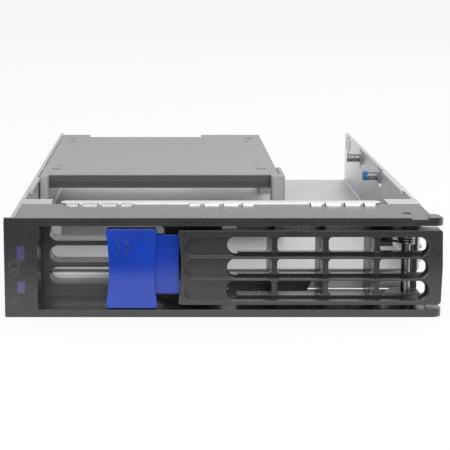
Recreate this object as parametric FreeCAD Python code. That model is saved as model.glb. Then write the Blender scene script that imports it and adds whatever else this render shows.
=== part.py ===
import FreeCAD, Part
import math
import os

# Hot swap drive caddy: a moulded bezel with a swing lever and a slide latch,
# on a folded steel tray that carries an adapter for a 2.5 inch drive.
# Millimetres. X runs to the right, Y from the bezel's front to the rear, Z up.
# Shapes are drawn with X = 0 on the tray's middle, Y = 0 on the bezel's front
# and Z = 0 under the bezel. write() moves them to the middle of the footprint.

V = FreeCAD.Vector
X_AXIS = V(1, 0, 0)
Y_AXIS = V(0, 1, 0)
Z_AXIS = V(0, 0, 1)

# Clearances
seat_gap = 0.10          # faces of two still pieces that lie against each other
slide_gap = 0.15         # latch in its guide, on each side
notch_gap = 0.15         # bezel's floor hook in the tray's notch
pin_gap = 0.05           # lever on its hinge pin, on the radius
press_gap = 0.02         # pressed and seated pieces
thread_gap = 0.04        # screw shank in its hole, on the radius
catch_gap = 0.40         # lever and latch past each other
spring_gap = 0.10        # spring ends off the faces that they push
relief_gap = 0.30        # adapter round the tray's bends and seats

# Modelling allowances
lap = 0.5                # how far one solid runs into the next before they are joined
past = 1.0               # how far a cutting tool runs past the face that it opens
skin = 0.01              # lap between tools that meet on one plane

# Folded tray
tray_width = 103.9       # outside to outside
tray_length = 158.3      # from the bezel's back to the tray's rear edge
sheet = 1.0
wall_height = 18.1       # outside, under the floor to the top of the walls
bend_radius = 0.6        # inside of each fold
arm_rise = 1.6           # left wall's front arm, from the tray's underside
arm_corner = 1.5
apron_gap = 0.2          # turned down front edge over the bezel's lower rail
apron_inset = 1.4        # apron's ends from the walls
apron_run = 6.0          # floor strip that the apron is folded from
tab_reach = 8.4          # top tabs, from the walls' outsides
tab_depth = 7.9
wall_lip = 0.7           # lips folded in along the top of the walls
wall_lip_start = 22.4    # from the tray's front edge
left_lip_end = -6.5      # from the adapter's front edge
right_lip_end = 5.5

# Screw seats lanced in the walls
seat_drop = 2.8          # screw line under the top of the walls
seat_rear = 46.9         # rear drive screw from the tray's rear edge
seat_steps = [-35.0, 0.0, 41.6]  # spare seat, rear and front drive screw
lance_length = 9.0
lance_push = 0.8
lance_slope = 1.4
lance_below = 3.6        # opening, from the screw line
lance_above = 2.5
lance_strip = 1.75       # half height of the strip that is pushed in

# Bezel
bezel_height = 24.3
bezel_depth = 23.5
top_rail = 1.6
bottom_rail = 1.85
left_lip = 1.3           # front plate past the tray's left wall
lip_thick = 1.5
panel_width = 8.1        # plate with the two windows
cheek_thick = 1.5        # wall between the panel and the recess
right_inset = 0.35       # rails from the tray's right side
edge_radius = 0.4
front_lip = 0.4          # raised front edge of the upper rail
front_lip_depth = 1.0
ear_reach = 2.0          # ears past the tray's right wall
ear_width = 3.15
ear_depth = 6.0
lower_ear = 2.05         # thickness of the lower ear
ear_round = 1.0          # rounding of the ears' ends, seen from the front
ear_chamfer = 0.6        # slant where an ear leaves its rail
ear_slope = 0.8          # step from the ear back to the rail
ear_corner = 2.7
ear_back_corner = 2.2
scallop_radius = 2.15     # round gap in the raised front edge, beside the ear
recess_depth = 16.5      # front plane to the back wall
slot_count = 3
slot_height = 4.35
slot_pitch = 5.6
slot_lift = 0.3          # slots' middle over the middle between the rails
bank_left = 1.7          # slots from the recess's left side
bank_margin = 1.65       # slots past the latch's guide block at full travel
web_width = 14.6         # solid back wall right of the slots
post_front = 12.0
pillar_width = 1.2
pillar_inset = 0.8
pillar_front = 20.0
lug_reach = {-1: 6.4, 1: 1.6}  # left and right rear lugs, from the walls' insides
lug_length = 6.5         # rear lugs behind the bezel
lug_corner = 0.5
hook_left = 2.6          # floor hook's lower edge
hook_width = 20.0
hook_flare = 1.8
hook_top = 5.2
hook_reach = 2.6         # behind the bezel
stop_thick = 1.8         # post that the latch spring pushes against
stop_inset = 0.25
stop_front = 8.6
pad_thick = 2.0          # pad for the lever spring's leg
pad_front = 14.2
pad_gap = 2.6            # pad from the hinge axis
pad_drop = 6.6           # pad's lower edge under the lever's top

# Light pipes behind the panel's windows
pipe_inset = 3.05        # from the bezel's left side
pipe_width = 1.9
pipe_rises = [-0.2, 8.1]  # from the tray's underside, lower and upper
pipe_heights = [3.0, 3.4]
pipe_length = 14.0
pipe_recess = 0.15
pipe_mouth = 3.0         # side face that takes the light in
pipe_taper = 0.6
pipe_wall_gap = 0.2
pipe_rim = 0.2           # tray windows inside the pipes' outline

# Lever
lever_length = 64.4
lever_inset = 0.45       # lever's end from the ears' outer side
lever_rise = 1.25        # from the bezel's lower rail
lever_drop = 1.1         # from the bezel's upper rail
lever_depth = 5.5
lever_plate = 2.8        # front plate over the latch
lever_corner = 1.0
lever_barrel = 0.25      # bulge of the right end
barrel_radius = 20.0
scoop_sag = 0.8          # hollow of the left edge
grille_height = 5.0      # mouth of a lever slot
grille_neck = 3.7        # height of the windows behind it
grille_pitch = 5.45
grille_sink = 0.3        # grille's middle under the lever's middle
grille_depth = 3.4       # mouth to windows
grille_start = 1.6       # slot's end from the lever's left edge
grille_end = 2.9         # slot's end from the lever's right edge
grille_taper = 0.4
blind_length = 10.3      # part of each slot with a floor
blind_depth = 1.6
window_count = 3
window_pitch = 12.6
window_corner = 1.0
rib_width = 1.35
rib_depth = 11.0         # ribs reach back to this
flange = 1.0

# Hinge
hinge_inset = 7.4        # axis from the lever's right end
hinge_y = 9.2
pin_radius = 1.1
pin_end = 0.7            # pin over the bezel's underside
pin_sink = 0.25          # pin under the bezel's top
knuckle_radius = 3.0
arm_thick = 1.7
arm_inset = 0.2
arm_root = 6.0           # arms' foot left of the axis

# Latch
tile_width = 12.8
tile_rise = 0.35         # from the bezel's lower rail
tile_drop = 0.8          # from the bezel's upper rail
tile_thick = 3.0
tile_waist = 0.85        # inward sweep of each side
tile_bow = 0.35
tile_corner = 0.9
neck_inset = 1.2
neck_back = 8.0
neck_wall = 1.4
boss_inset = 4.6         # guide block from the tile's left side
boss_width = 3.7
boss_foot = 1.0          # snap foot past the guide block
foot_thick = 1.2
latch_travel = 4.5
tongue_height = 14.8
tongue_front = 3.3
tongue_thick = 1.8
tongue_rim = 1.5         # right of the latch's window
window_inset = 0.3       # latch's window from the lever's left edge
window_rim = 1.0         # window over the lever's hooks
hook_root = 1.2          # thickness of the hooks' stems
hook_nose = 1.5          # reach of the hooks past their stems
hook_thick = 1.5
hook_height = 2.2
hook_space = 1.6         # between the two hooks
hook_slip = 0.25         # hooks behind the tongue
lug_half = 3.2           # latch's spring lug, half its height
lug_step = 1.5           # lug past the tile
link_half = 2.0
link_front = 9.0
link_back = 14.0

# Springs
spring_sides = 4         # corners of the wire's section
latch_wire = 0.5
latch_coil = 2.0         # mean radius
latch_turns = 4.5
lever_wire = 0.6
lever_turns = 3.5
lever_leg = 6.0
coil_gap = 0.08          # between the lever spring's turns
coil_clear = 0.5         # lever spring round its pin
coil_drop = 0.3          # lever spring under the lever's upper arm

# Shield strip on the bezel's top
strip_thick = 0.2
strip_inset = 10.6       # strip's ends from the walls' outsides
strip_width = 4.4
strip_corner = 1.6
strip_drop = 1.5         # leg behind the bezel
leg_inset = 2.0
strip_lap = 0.1
finger_groups = 3
finger_margin = 2.05     # from the strip's end to the first finger
finger_widths = [2.6, 3.7, 3.7, 2.6]
finger_gap = 1.24
finger_length = 3.6
finger_rise = 0.45
finger_crown = 0.45      # place of the crown along the finger, 0 to 1
finger_tip = 0.02

# Drive adapter
adapter_setback = 104.4  # front edge from the tray's rear edge
adapter_length = 92.2
adapter_width = 69.85
adapter_gap = 0.3        # from the left wall
adapter_plate = 2.0
adapter_tail = 6.7       # rear tabs past the plate
left_tail = 9.5
right_tail = 20.6
beam_thick = 1.3
beam_drop = 4.2          # front beam, from the top
beam_steps = [1.75, 0.9] # fine steps, from its lower edge
beam_step = 0.35
leg_depth = 5.0
left_leg = 2.5
right_leg = 2.4
guide_reach = 1.5        # side guides past the plate
guide_slit = 0.3
guide_front = 14.5
guide_rear = [20.0, 4.0] # from the plate's rear edge
rear_guide = 1.2         # thickness of the rear leg under the plate's right edge
foot_height = 2.8
left_foot = 6.2
rear_foot = 7.8
rear_foot_span = [17.0, 7.0]
floor_lift = 0.02        # feet over the tray's floor
drive_holes_x = 61.72
drive_holes_y = 76.6
drive_hole_radius = 1.6
drive_shift = -0.4       # hole pattern from the plate's middle
drive_setback = 49.7     # hole pattern's middle from the front edge
peg_holes_x = 60.0
peg_holes_y = 60.8
peg_hole_radius = 0.9

# Screws
screw_radius = 1.45
screw_head_radius = 2.45
screw_head = 1.1
floor_screw = 3.2        # shank lengths
drive_screw = 5.2
side_screw = {-1: 5.0, 1: 2.4}  # left and right
side_screw_back = 3.3    # side screws behind the bezel
side_screw_low = 3.6     # from the tray's floor
side_screw_high = 5.0    # from the top of the walls
front_foot_screw = (3.6, -2.5)
right_leg_screw = (-0.5, -2.5)
rear_foot_screw = (4.6, -12.0)

# Places worked out from the sizes above
half_width = tray_width / 2
inner_half = half_width - sheet
wall_top = bezel_height
floor_top = wall_top - wall_height + sheet
underside = floor_top - sheet
tray_front = bezel_depth + seat_gap
tray_rear = tray_front + tray_length
seat_z = wall_top - seat_drop
ceiling = bezel_height - top_rail
bezel_left = -half_width - left_lip
bezel_right = half_width + ear_reach
body_left = -inner_half + seat_gap
body_right = half_width - right_inset
ear_left = bezel_right - ear_width
recess_left = bezel_left + panel_width
lever_right = bezel_right - lever_inset
lever_left = lever_right - lever_length
lever_bottom = bottom_rail + lever_rise
lever_top = ceiling - lever_drop
lever_middle = (lever_bottom + lever_top) / 2
hinge_x = lever_right - hinge_inset
tile_right = lever_left - latch_travel - catch_gap
tile_left = tile_right - tile_width
tile_bottom = bottom_rail + tile_rise
tile_top = ceiling - tile_drop
guide_mid = (bottom_rail + ceiling) / 2 + slot_lift
boss_left = tile_left + boss_inset
boss_right = boss_left + boss_width
bank_start = recess_left + bank_left
bank_end = boss_right + latch_travel + bank_margin
web_end = bank_end + web_width
stop_right = web_end - stop_inset
stop_left = stop_right - stop_thick
hook_right = hook_left + hook_width
window_left = lever_left + window_inset
window_right = window_left + latch_travel + catch_gap + hook_root + hook_nose + catch_gap
tongue_right = window_right + tongue_rim
hollow_end = tongue_right + latch_travel + catch_gap
adapter_left = -inner_half + adapter_gap
adapter_right = adapter_left + adapter_width
adapter_front = tray_rear - adapter_setback
adapter_rear = adapter_front + adapter_length
drive_mid_x = adapter_left + adapter_width / 2 + drive_shift
drive_mid_y = adapter_front + drive_setback
pipe_levels = [(underside + rise, height) for rise, height in zip(pipe_rises, pipe_heights)]
pipe_left = bezel_left + pipe_inset
pipe_right = pipe_left + pipe_width
side_screw_y = bezel_depth + side_screw_back
side_screw_levels = [floor_top + side_screw_low, wall_top - side_screw_high]
seat_ys = [tray_rear - seat_rear - step for step in seat_steps]
slot_levels = [
    guide_mid - slot_height / 2 + (i - (slot_count - 1) / 2) * slot_pitch for i in range(slot_count)
]
grille_left = lever_left + grille_start
grille_right = lever_right - grille_end
grille_levels = [
    lever_middle - grille_sink + (i - (slot_count - 1) / 2) * grille_pitch for i in range(slot_count)
]
first_post = grille_left + blind_length + window_pitch - rib_width / 2
post_xs = [first_post + i * window_pitch for i in range(window_count)]
floor_screws = {
    "front_left": (adapter_left + front_foot_screw[0], adapter_front + front_foot_screw[1]),
    "front_right": (adapter_right + right_leg_screw[0], adapter_front + right_leg_screw[1]),
    "rear": (adapter_right + rear_foot_screw[0], adapter_rear + rear_foot_screw[1]),
}


# Drawing helpers

def box(x0, x1, y0, y1, z0, z1):
    return Part.makeBox(x1 - x0, y1 - y0, z1 - z0, V(x0, y0, z0))


def side_box(side, near, far, y0, y1, z0, z1):
    """Box on the left (-1) or right (1) side, near and far being distances from the middle."""
    x0, x1 = sorted((side * near, side * far))
    return box(x0, x1, y0, y1, z0, z1)


def rod(radius, start, end):
    return Part.makeCylinder(radius, (end - start).Length, start, end - start)


def screw_hole(start, end):
    return rod(screw_radius + thread_gap, start, end)


def join(shapes):
    return shapes[0].multiFuse(shapes[1:]).removeSplitter()


def outline(corners, place):
    """Closed wire through corners (u, v, radius); place(u, v) puts a point in space."""
    points = [V(u, v, 0) for u, v, _ in corners]
    runs = []
    for i, (_, _, radius) in enumerate(corners):
        back = (points[i - 1] - points[i]).normalize()
        ahead = (points[(i + 1) % len(points)] - points[i]).normalize()
        half = back.getAngle(ahead) / 2
        reach = radius / math.tan(half)
        bisector = (back + ahead).normalize()
        middle = points[i] + bisector * (radius / math.sin(half) - radius)
        runs.append((points[i] + back * reach, middle, points[i] + ahead * reach))
    edges = []
    for i, (start, middle, end) in enumerate(runs):
        if (end - start).Length > 1e-6:
            arc = [place(p.x, p.y) for p in (start, middle, end)]
            edges.append(Part.Arc(*arc).toShape())
        following = runs[(i + 1) % len(runs)][0]
        if (following - end).Length > 1e-6:
            edges.append(Part.makeLine(place(end.x, end.y), place(following.x, following.y)))
    return Part.Wire(edges)


def on_front(y):
    return lambda u, v: V(u, y, v)


def on_plan(z):
    return lambda u, v: V(u, v, z)


def on_side(x):
    return lambda u, v: V(x, u, v)


def solid(corners, place, sweep):
    return Part.Face(outline(corners, place)).extrude(sweep)


def rectangle(u0, u1, v0, v1, radius):
    return [(u0, v0, radius), (u1, v0, radius), (u1, v1, radius), (u0, v1, radius)]


def stadium(u0, u1, v0, v1):
    return rectangle(u0, u1, v0, v1, (v1 - v0) / 2)


def hinge(z):
    return V(hinge_x, hinge_y, z)


# Bezel

def rail_outline():
    """Plan of the top and bottom rails, with the ear at the right end."""
    return [
        (bezel_left, 0, edge_radius), (bezel_right, 0, ear_corner), (bezel_right, ear_depth, ear_back_corner),
        (body_right, ear_depth + ear_slope, ear_slope), (body_right, bezel_depth, edge_radius),
        (body_left, bezel_depth, edge_radius), (body_left, lip_thick, 0),
        (bezel_left, lip_thick, edge_radius),
    ]


def make_bezel():
    plate = rectangle(bezel_left, recess_left, 0, bezel_height, edge_radius)
    pieces = [
        solid(rail_outline(), on_plan(ceiling), Z_AXIS * top_rail),
        solid(rail_outline(), on_plan(0), Z_AXIS * bottom_rail),
        solid(plate, on_front(0), Y_AXIS * lip_thick),
        box(recess_left - cheek_thick, recess_left, 0, bezel_depth, 0, bezel_height),
        box(recess_left, web_end, recess_depth, bezel_depth, 0, bezel_height),
    ]
    for x in post_xs:
        pieces.append(box(x - rib_width / 2, x + rib_width / 2, post_front, bezel_depth, 0, bezel_height))
    pillar_right = body_right - pillar_inset
    pieces.append(box(pillar_right - pillar_width, pillar_right, pillar_front, bezel_depth, 0, bezel_height))
    pieces += [raised_edge(), upper_ear_end(), lower_ear_end()]
    pieces += [spring_stop(), spring_pad(), rear_lug(-1), rear_lug(1), floor_hook()]
    holes = pipe_windows() + side_screw_holes()
    for z in slot_levels:
        slot = stadium(bank_start, bank_end, z, z + slot_height)
        through = bezel_depth - recess_depth + 2 * past
        holes.append(solid(slot, on_front(recess_depth - past), Y_AXIS * through))
    holes.append(rod(pin_radius + press_gap, hinge(pin_end - press_gap), hinge(bezel_height + past)))
    return join(pieces).cut(holes)


def raised_edge():
    """Lip along the upper rail's front edge, with a round gap beside the ear."""
    top = bezel_height + front_lip
    strip = solid(rail_outline(), on_plan(ceiling), Z_AXIS * (top - ceiling))
    strip = strip.common(box(bezel_left, bezel_right, 0, front_lip_depth, ceiling, top))
    middle = ear_left - ear_chamfer - scallop_radius
    return strip.cut(rod(scallop_radius, V(middle, 0, bezel_height), V(middle, 0, top + past)))


def ear(face):
    """Thick end of a rail, from its face seen from the front, rounded in plan as well."""
    plan = [(ear_left - ear_chamfer, 0, 0), (bezel_right, 0, ear_corner),
            (bezel_right, ear_depth, ear_corner), (ear_left - ear_chamfer, ear_depth, 0)]
    upright = solid(plan, on_plan(-past), Z_AXIS * (bezel_height + front_lip + 2 * past))
    return solid(face, on_front(0), Y_AXIS * ear_depth).common(upright)


def upper_ear_end():
    top = bezel_height + front_lip
    return ear([(ear_left - ear_chamfer, ceiling, 0), (bezel_right, ceiling, ear_round / 2),
                (bezel_right, top, ear_round), (ear_left, top, 0),
                (ear_left - ear_chamfer, bezel_height, 0)])


def lower_ear_end():
    return ear([(ear_left - ear_chamfer, 0, 0), (bezel_right, 0, ear_round),
                (bezel_right, lower_ear, ear_round), (ear_left - ear_chamfer, lower_ear, 0)])


def spring_stop():
    return box(stop_left, stop_right, stop_front, recess_depth, guide_mid - lug_half, guide_mid + lug_half)


def spring_pad():
    """Wall under the upper rail that takes the lever spring's rear leg."""
    return box(post_xs[-1], hinge_x - pad_gap, pad_front, pad_front + pad_thick,
               lever_top - pad_drop, bezel_height)


def rear_lug(side):
    """Block behind the bezel that the side screws bite into, under the tray's top tab."""
    x0, x1 = sorted((side * (inner_half - seat_gap), side * (inner_half - lug_reach[side])))
    face = rectangle(x0, x1, floor_top + seat_gap, wall_top - sheet - seat_gap, lug_corner)
    return solid(face, on_front(bezel_depth - past), Y_AXIS * (lug_length + past))


def hook_face(gap):
    """Face of the floor hook, or of the notch round it."""
    low = bottom_rail - lap
    high = hook_top + gap
    return [(hook_left - gap, low, 0), (hook_right + gap, low, 0),
            (hook_right + hook_flare + gap, high, edge_radius),
            (hook_left - hook_flare - gap, high, edge_radius)]


def floor_hook():
    """Lug that enters the notch in the tray's front fold."""
    return solid(hook_face(0), on_front(bezel_depth - past), Y_AXIS * (hook_reach + past))


def pipe_windows():
    return [
        box(pipe_left - press_gap, pipe_right + press_gap, -past, lip_thick + past,
            z - press_gap, z + height + press_gap)
        for z, height in pipe_levels
    ]


def side_screw_holes():
    """Holes for the four screws through the tray's walls into the bezel's lugs."""
    holes = []
    for side in (-1, 1):
        for z in side_screw_levels:
            outside = V(side * (half_width + past), side_screw_y, z)
            inside = V(side * (inner_half - lug_reach[side] - past), side_screw_y, z)
            holes.append(screw_hole(outside, inside))
    return holes


def make_light_pipe(z, height):
    """Turning prism: a 45 degree back face takes light in from the left side."""
    wall_side = body_left + pipe_wall_gap
    plan = [(pipe_left, pipe_recess, 0), (pipe_right, pipe_recess, 0),
            (pipe_right, pipe_length + pipe_right - wall_side, 0), (wall_side, pipe_length, 0),
            (wall_side, pipe_length - pipe_mouth, 0), (pipe_left, pipe_length - pipe_mouth - pipe_taper, 0)]
    return solid(plan, on_plan(z), Z_AXIS * height)


# Lever

def make_lever():
    face = [(lever_left, lever_bottom, lever_corner), (lever_right, lever_bottom, lever_corner),
            (lever_right + lever_barrel, lever_middle, barrel_radius),
            (lever_right, lever_top, lever_corner / 2), (lever_left, lever_top, lever_corner / 2)]
    body = solid(face, on_front(0), Y_AXIS * lever_depth)
    hollow = box(lever_left - past, hollow_end, lever_plate, lever_depth + past,
                 lever_bottom - past, lever_top + past)
    tools = [hollow, left_scoop()]
    for z in grille_levels:
        tools += grille_slot(z)
    ribs = [box(x - rib_width / 2, x + rib_width / 2, lever_depth - lap, rib_depth, lever_bottom, lever_top)
            for x in post_xs]
    flanges = [box(hollow_end, hinge_x - arm_root, lever_depth - lap, rib_depth, z, z + flange)
               for z in (lever_bottom, lever_top - flange)]
    body = join([body.cut(tools)] + ribs + flanges + hinge_arms() + hooks())
    return body.cut(rod(pin_radius + pin_gap, hinge(0), hinge(bezel_height)))


def grille_slot(z):
    """Cutting tools of one slot: a blind mouth, a funnel and the windows behind it."""
    low = z - grille_height / 2
    high = z + grille_height / 2
    neck_low = z - grille_neck / 2
    neck_high = z + grille_neck / 2
    start = grille_left + blind_length
    mouth = solid(stadium(grille_left, grille_right, low, high), on_front(-skin),
                  Y_AXIS * (blind_depth + skin))
    wide = outline(stadium(start, grille_right, low, high), on_front(blind_depth - skin))
    narrow = outline(stadium(start + grille_taper, grille_right - grille_taper, neck_low, neck_high),
                     on_front(grille_depth))
    tools = [mouth, Part.makeLoft([wide, narrow], True, True)]
    for x0, x1 in window_edges():
        window = rectangle(x0, x1, neck_low, neck_high, window_corner)
        through = lever_depth - grille_depth + past
        tools.append(solid(window, on_front(grille_depth - skin), Y_AXIS * through))
    return tools


def window_edges():
    """Left and right sides of the windows behind each slot, with the ribs between them."""
    lefts = [grille_left + blind_length] + [x + rib_width / 2 for x in post_xs]
    rights = [x - rib_width / 2 for x in post_xs] + [grille_right - grille_taper / 2]
    return list(zip(lefts, rights))


def left_scoop():
    """Hollow in the lever's left edge that follows the latch tile."""
    chord = lever_top - lever_bottom
    radius = chord * chord / (8 * scoop_sag) + scoop_sag / 2
    x = lever_left + scoop_sag - radius
    return rod(radius, V(x, -past, lever_middle), V(x, lever_depth + past, lever_middle))


def hinge_arms():
    """Two arms from the lever's back to eyes round the hinge pin."""
    right = hinge_x + knuckle_radius
    back = hinge_y + knuckle_radius
    round_end = knuckle_radius - skin
    plan = [(hinge_x - arm_root, lever_depth - lap, 0), (right, lever_depth - lap, 0),
            (right, back, round_end), (hinge_x - knuckle_radius, back, round_end)]
    levels = (lever_bottom + arm_inset, lever_top - arm_inset - arm_thick)
    return [solid(plan, on_plan(z), Z_AXIS * arm_thick) for z in levels]


def hooks():
    """Two hooks behind the lever's plate that reach through the latch's window."""
    tip = window_right - catch_gap
    stem = tip - hook_nose
    root = stem - hook_root
    front = lever_plate - lap
    back = tongue_front + tongue_thick + hook_slip
    end = back + hook_thick
    plan = [(root, front, 0), (stem, front, 0), (stem, back, 0),
            (tip, back, 0), (tip - hook_nose / 2, end, 0), (root, end, 0)]
    levels = (guide_mid - hook_space / 2 - hook_height, guide_mid + hook_space / 2)
    return [solid(plan, on_plan(z), Z_AXIS * hook_height) for z in levels]


def make_hinge_pin():
    return rod(pin_radius, hinge(pin_end), hinge(bezel_height - pin_sink))


# Latch

def make_latch():
    low = guide_mid - tongue_height / 2
    high = guide_mid + tongue_height / 2
    window_half = hook_space / 2 + hook_height + window_rim
    tongue = solid(rectangle(tile_right - neck_inset, tongue_right, low, high, lap),
                   on_front(tongue_front), Y_AXIS * tongue_thick)
    opening = rectangle(window_left, window_right, guide_mid - window_half, guide_mid + window_half, lap)
    window = solid(opening, on_front(tongue_front - past), Y_AXIS * (tongue_thick + 2 * past))
    neck = box(tile_left + neck_inset, tile_right - neck_inset, tile_thick - lap, neck_back, low, high)
    core = box(tile_left + neck_inset + neck_wall, tile_right - neck_inset - neck_wall,
               tile_thick - past, neck_back - neck_wall, low + neck_wall, high - neck_wall)
    lug_right = tile_right + lug_step
    lug = box(tile_right - neck_inset - neck_wall, lug_right, tongue_front + tongue_thick - lap, link_back,
              guide_mid - lug_half, guide_mid + lug_half)
    link = box(boss_left, lug_right, link_front, link_back, guide_mid - link_half, guide_mid + link_half)
    shell = join([tile(), neck]).cut(core)
    return join([shell, tongue, lug, link] + guide_block()).cut(window)


def tile():
    """Face plate with sides that sweep in, slightly bowed to the front."""
    middle = (tile_bottom + tile_top) / 2
    left = [V(tile_left, 0, tile_bottom), V(tile_left + tile_waist, 0, middle), V(tile_left, 0, tile_top)]
    right = [V(tile_right, 0, tile_top), V(tile_right - tile_waist, 0, middle), V(tile_right, 0, tile_bottom)]
    edges = [Part.Arc(*left).toShape(), Part.makeLine(left[-1], right[0]),
             Part.Arc(*right).toShape(), Part.makeLine(right[-1], left[0])]
    face = Part.Face(Part.Wire(edges)).extrude(Y_AXIS * tile_thick)
    corners = [edge for edge in face.Edges if abs(edge.Length - tile_thick) < 1e-6]
    face = face.makeFillet(tile_corner, corners)
    x = tile_left - past
    bow = [V(x, tile_bow, tile_bottom), V(x, 0, middle), V(x, tile_bow, tile_top)]
    back = Y_AXIS * tile_thick
    side = Part.Wire([Part.Arc(*bow).toShape(), Part.makeLine(bow[-1], bow[-1] + back),
                      Part.makeLine(bow[-1] + back, bow[0] + back), Part.makeLine(bow[0] + back, bow[0])])
    return face.common(Part.Face(side).extrude(X_AXIS * (tile_width + 2 * past)))


def guide_block():
    """Block that rides in the middle slot, with a snap foot behind the bezel."""
    low = guide_mid - slot_height / 2 + slide_gap
    high = guide_mid + slot_height / 2 - slide_gap
    foot_front = bezel_depth + slide_gap
    block = solid(rectangle(boss_left, boss_right, low, high, edge_radius),
                  on_front(tile_thick - lap), Y_AXIS * (foot_front + lap - tile_thick + lap))
    foot = solid(rectangle(boss_left, boss_right, low - boss_foot, high + boss_foot, edge_radius),
                 on_front(foot_front), Y_AXIS * foot_thick)
    return [block, foot]


# Springs

def coil(radius, wire, length, turns, left_hand):
    """Helical spring up the Z axis from 0 to length, starting on the +X side."""
    height = length - wire
    helix = Part.makeHelix(height / turns, height, radius, 0, left_hand)
    angles = [2 * math.pi * i / spring_sides for i in range(spring_sides + 1)]
    ring = [V(radius + wire / 2 * math.cos(a), 0, wire / 2 * math.sin(a)) for a in angles]
    spring = Part.Wire(helix.Edges).makePipeShell([Part.makePolygon(ring)], True, True)
    spring.translate(V(0, 0, wire / 2))
    return spring


def make_latch_spring():
    start = tile_right + lug_step + spring_gap
    spring = coil(latch_coil, latch_wire, stop_left - spring_gap - start, latch_turns, False)
    spring.rotate(V(0, 0, 0), Y_AXIS, 90)
    spring.translate(V(start, (link_front + link_back) / 2, guide_mid))
    return spring


def make_lever_spring():
    """Torsion spring round the hinge pin: one leg on the lever, one on the bezel's pad."""
    half_wire = lever_wire / 2
    radius = pin_radius + coil_clear + half_wire
    height = lever_turns * (lever_wire + coil_gap) + lever_wire
    base = lever_top - arm_inset - arm_thick - coil_drop - height
    spring = coil(radius, lever_wire, height, lever_turns, True)
    spring.rotate(V(0, 0, 0), Z_AXIS, 90)
    spring.translate(hinge(base))
    low = hinge(base + half_wire) + V(0, radius, 0)
    high = hinge(base + height - half_wire) - V(0, radius, 0)
    on_pad = V(hinge_x - lever_leg, pad_front - half_wire - spring_gap, low.z)
    on_lever = V(hinge_x - lever_leg, lever_depth + half_wire + spring_gap, high.z)
    return spring.multiFuse([rod(half_wire, low, on_pad), rod(half_wire, high, on_lever)])


# Tray

def make_tray():
    bend = bend_radius + sheet
    section = [(-half_width, wall_top, 0), (-half_width, underside, bend), (half_width, underside, bend),
               (half_width, wall_top, 0), (inner_half, wall_top, 0), (inner_half, floor_top, bend_radius),
               (-inner_half, floor_top, bend_radius), (-inner_half, wall_top, 0)]
    channel = solid(section, on_front(tray_front), Y_AXIS * tray_length)
    apron_half = inner_half - apron_inset
    corner = box(-apron_half, apron_half, tray_front - past, tray_front + bend,
                 underside - skin, floor_top + skin)
    pieces = [channel.cut(corner), front_arm(), apron(apron_half)]
    for side in (-1, 1):
        pieces += [top_tab(side), top_lip(side)]
    notch = solid(hook_face(notch_gap), on_front(tray_front - past), Y_AXIS * (hook_reach + 2 * past))
    sheet_metal = join(pieces).cut(lance_openings() + tray_screw_holes() + pipe_openings() + [notch])
    return join([sheet_metal] + [lance_strip_at(side, y) for side in (-1, 1) for y in seat_ys])


def front_arm():
    """Left wall's arm along the bezel's side, up to the front plate."""
    start = lip_thick + seat_gap
    low = underside + arm_rise
    face = [(start, low, arm_corner), (tray_front + past, low, 0),
            (tray_front + past, wall_top, 0), (start, wall_top, 0)]
    return solid(face, on_side(-half_width), X_AXIS * sheet)


def apron(half):
    """Front edge of the floor, folded down behind the bezel."""
    low = bottom_rail + apron_gap
    back = tray_front + sheet
    side = [(tray_front, low, 0), (back, low, 0), (back, underside, bend_radius),
            (tray_front + apron_run, underside, 0), (tray_front + apron_run, floor_top, 0),
            (tray_front, floor_top, bend_radius + sheet)]
    return solid(side, on_side(-half), X_AXIS * (2 * half))


def top_tab(side):
    """Tab folded in from the wall's front end, over the bezel's lug."""
    return side_box(side, half_width - lap, half_width - tab_reach, tray_front, tray_front + tab_depth,
                    wall_top - sheet, wall_top)


def top_lip(side):
    """Narrow lip folded in along the wall."""
    end = adapter_front + (left_lip_end if side < 0 else right_lip_end)
    return side_box(side, half_width - lap, inner_half - wall_lip, tray_front + wall_lip_start, end,
                    wall_top - sheet, wall_top)


def lance_openings():
    half = lance_length / 2
    return [side_box(side, inner_half - past / 2, half_width + past, y - half, y + half,
                     seat_z - lance_below, seat_z + lance_above)
            for side in (-1, 1) for y in seat_ys]


def lance_strip_at(side, y):
    """Strip of a lanced seat, pushed inwards, with its screw hole."""
    half = lance_length / 2 + skin
    flat = lance_length / 2 - lance_slope
    outer = side * half_width
    inner = side * inner_half
    push = -side * lance_push
    plan = [(outer, y - half, 0), (outer + push, y - flat, 0),
            (outer + push, y + flat, 0), (outer, y + half, 0),
            (inner, y + half, 0), (inner + push, y + flat, 0),
            (inner + push, y - flat, 0), (inner, y - half, 0)]
    strip = solid(plan, on_plan(seat_z - lance_strip), Z_AXIS * (2 * lance_strip))
    hole = screw_hole(V(outer + side * past, y, seat_z), V(inner + 2 * push - side * past, y, seat_z))
    return strip.cut(hole)


def tray_screw_holes():
    holes = [screw_hole(V(x, y, underside - past), V(x, y, floor_top + past))
             for x, y in floor_screws.values()]
    for side in (-1, 1):
        for z in side_screw_levels:
            outside = V(side * (half_width + past), side_screw_y, z)
            holes.append(screw_hole(outside, outside - X_AXIS * side * (sheet + 2 * past)))
    return holes


def pipe_openings():
    """Openings in the left arm that let light into the pipes."""
    back = pipe_length + pipe_mouth / 2
    front = pipe_length - pipe_mouth + pipe_rim
    return [
        box(-half_width - past, -inner_half + past, front, back, z + pipe_rim, z + height - pipe_rim)
        for z, height in pipe_levels
    ]


# Shield strip

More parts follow.
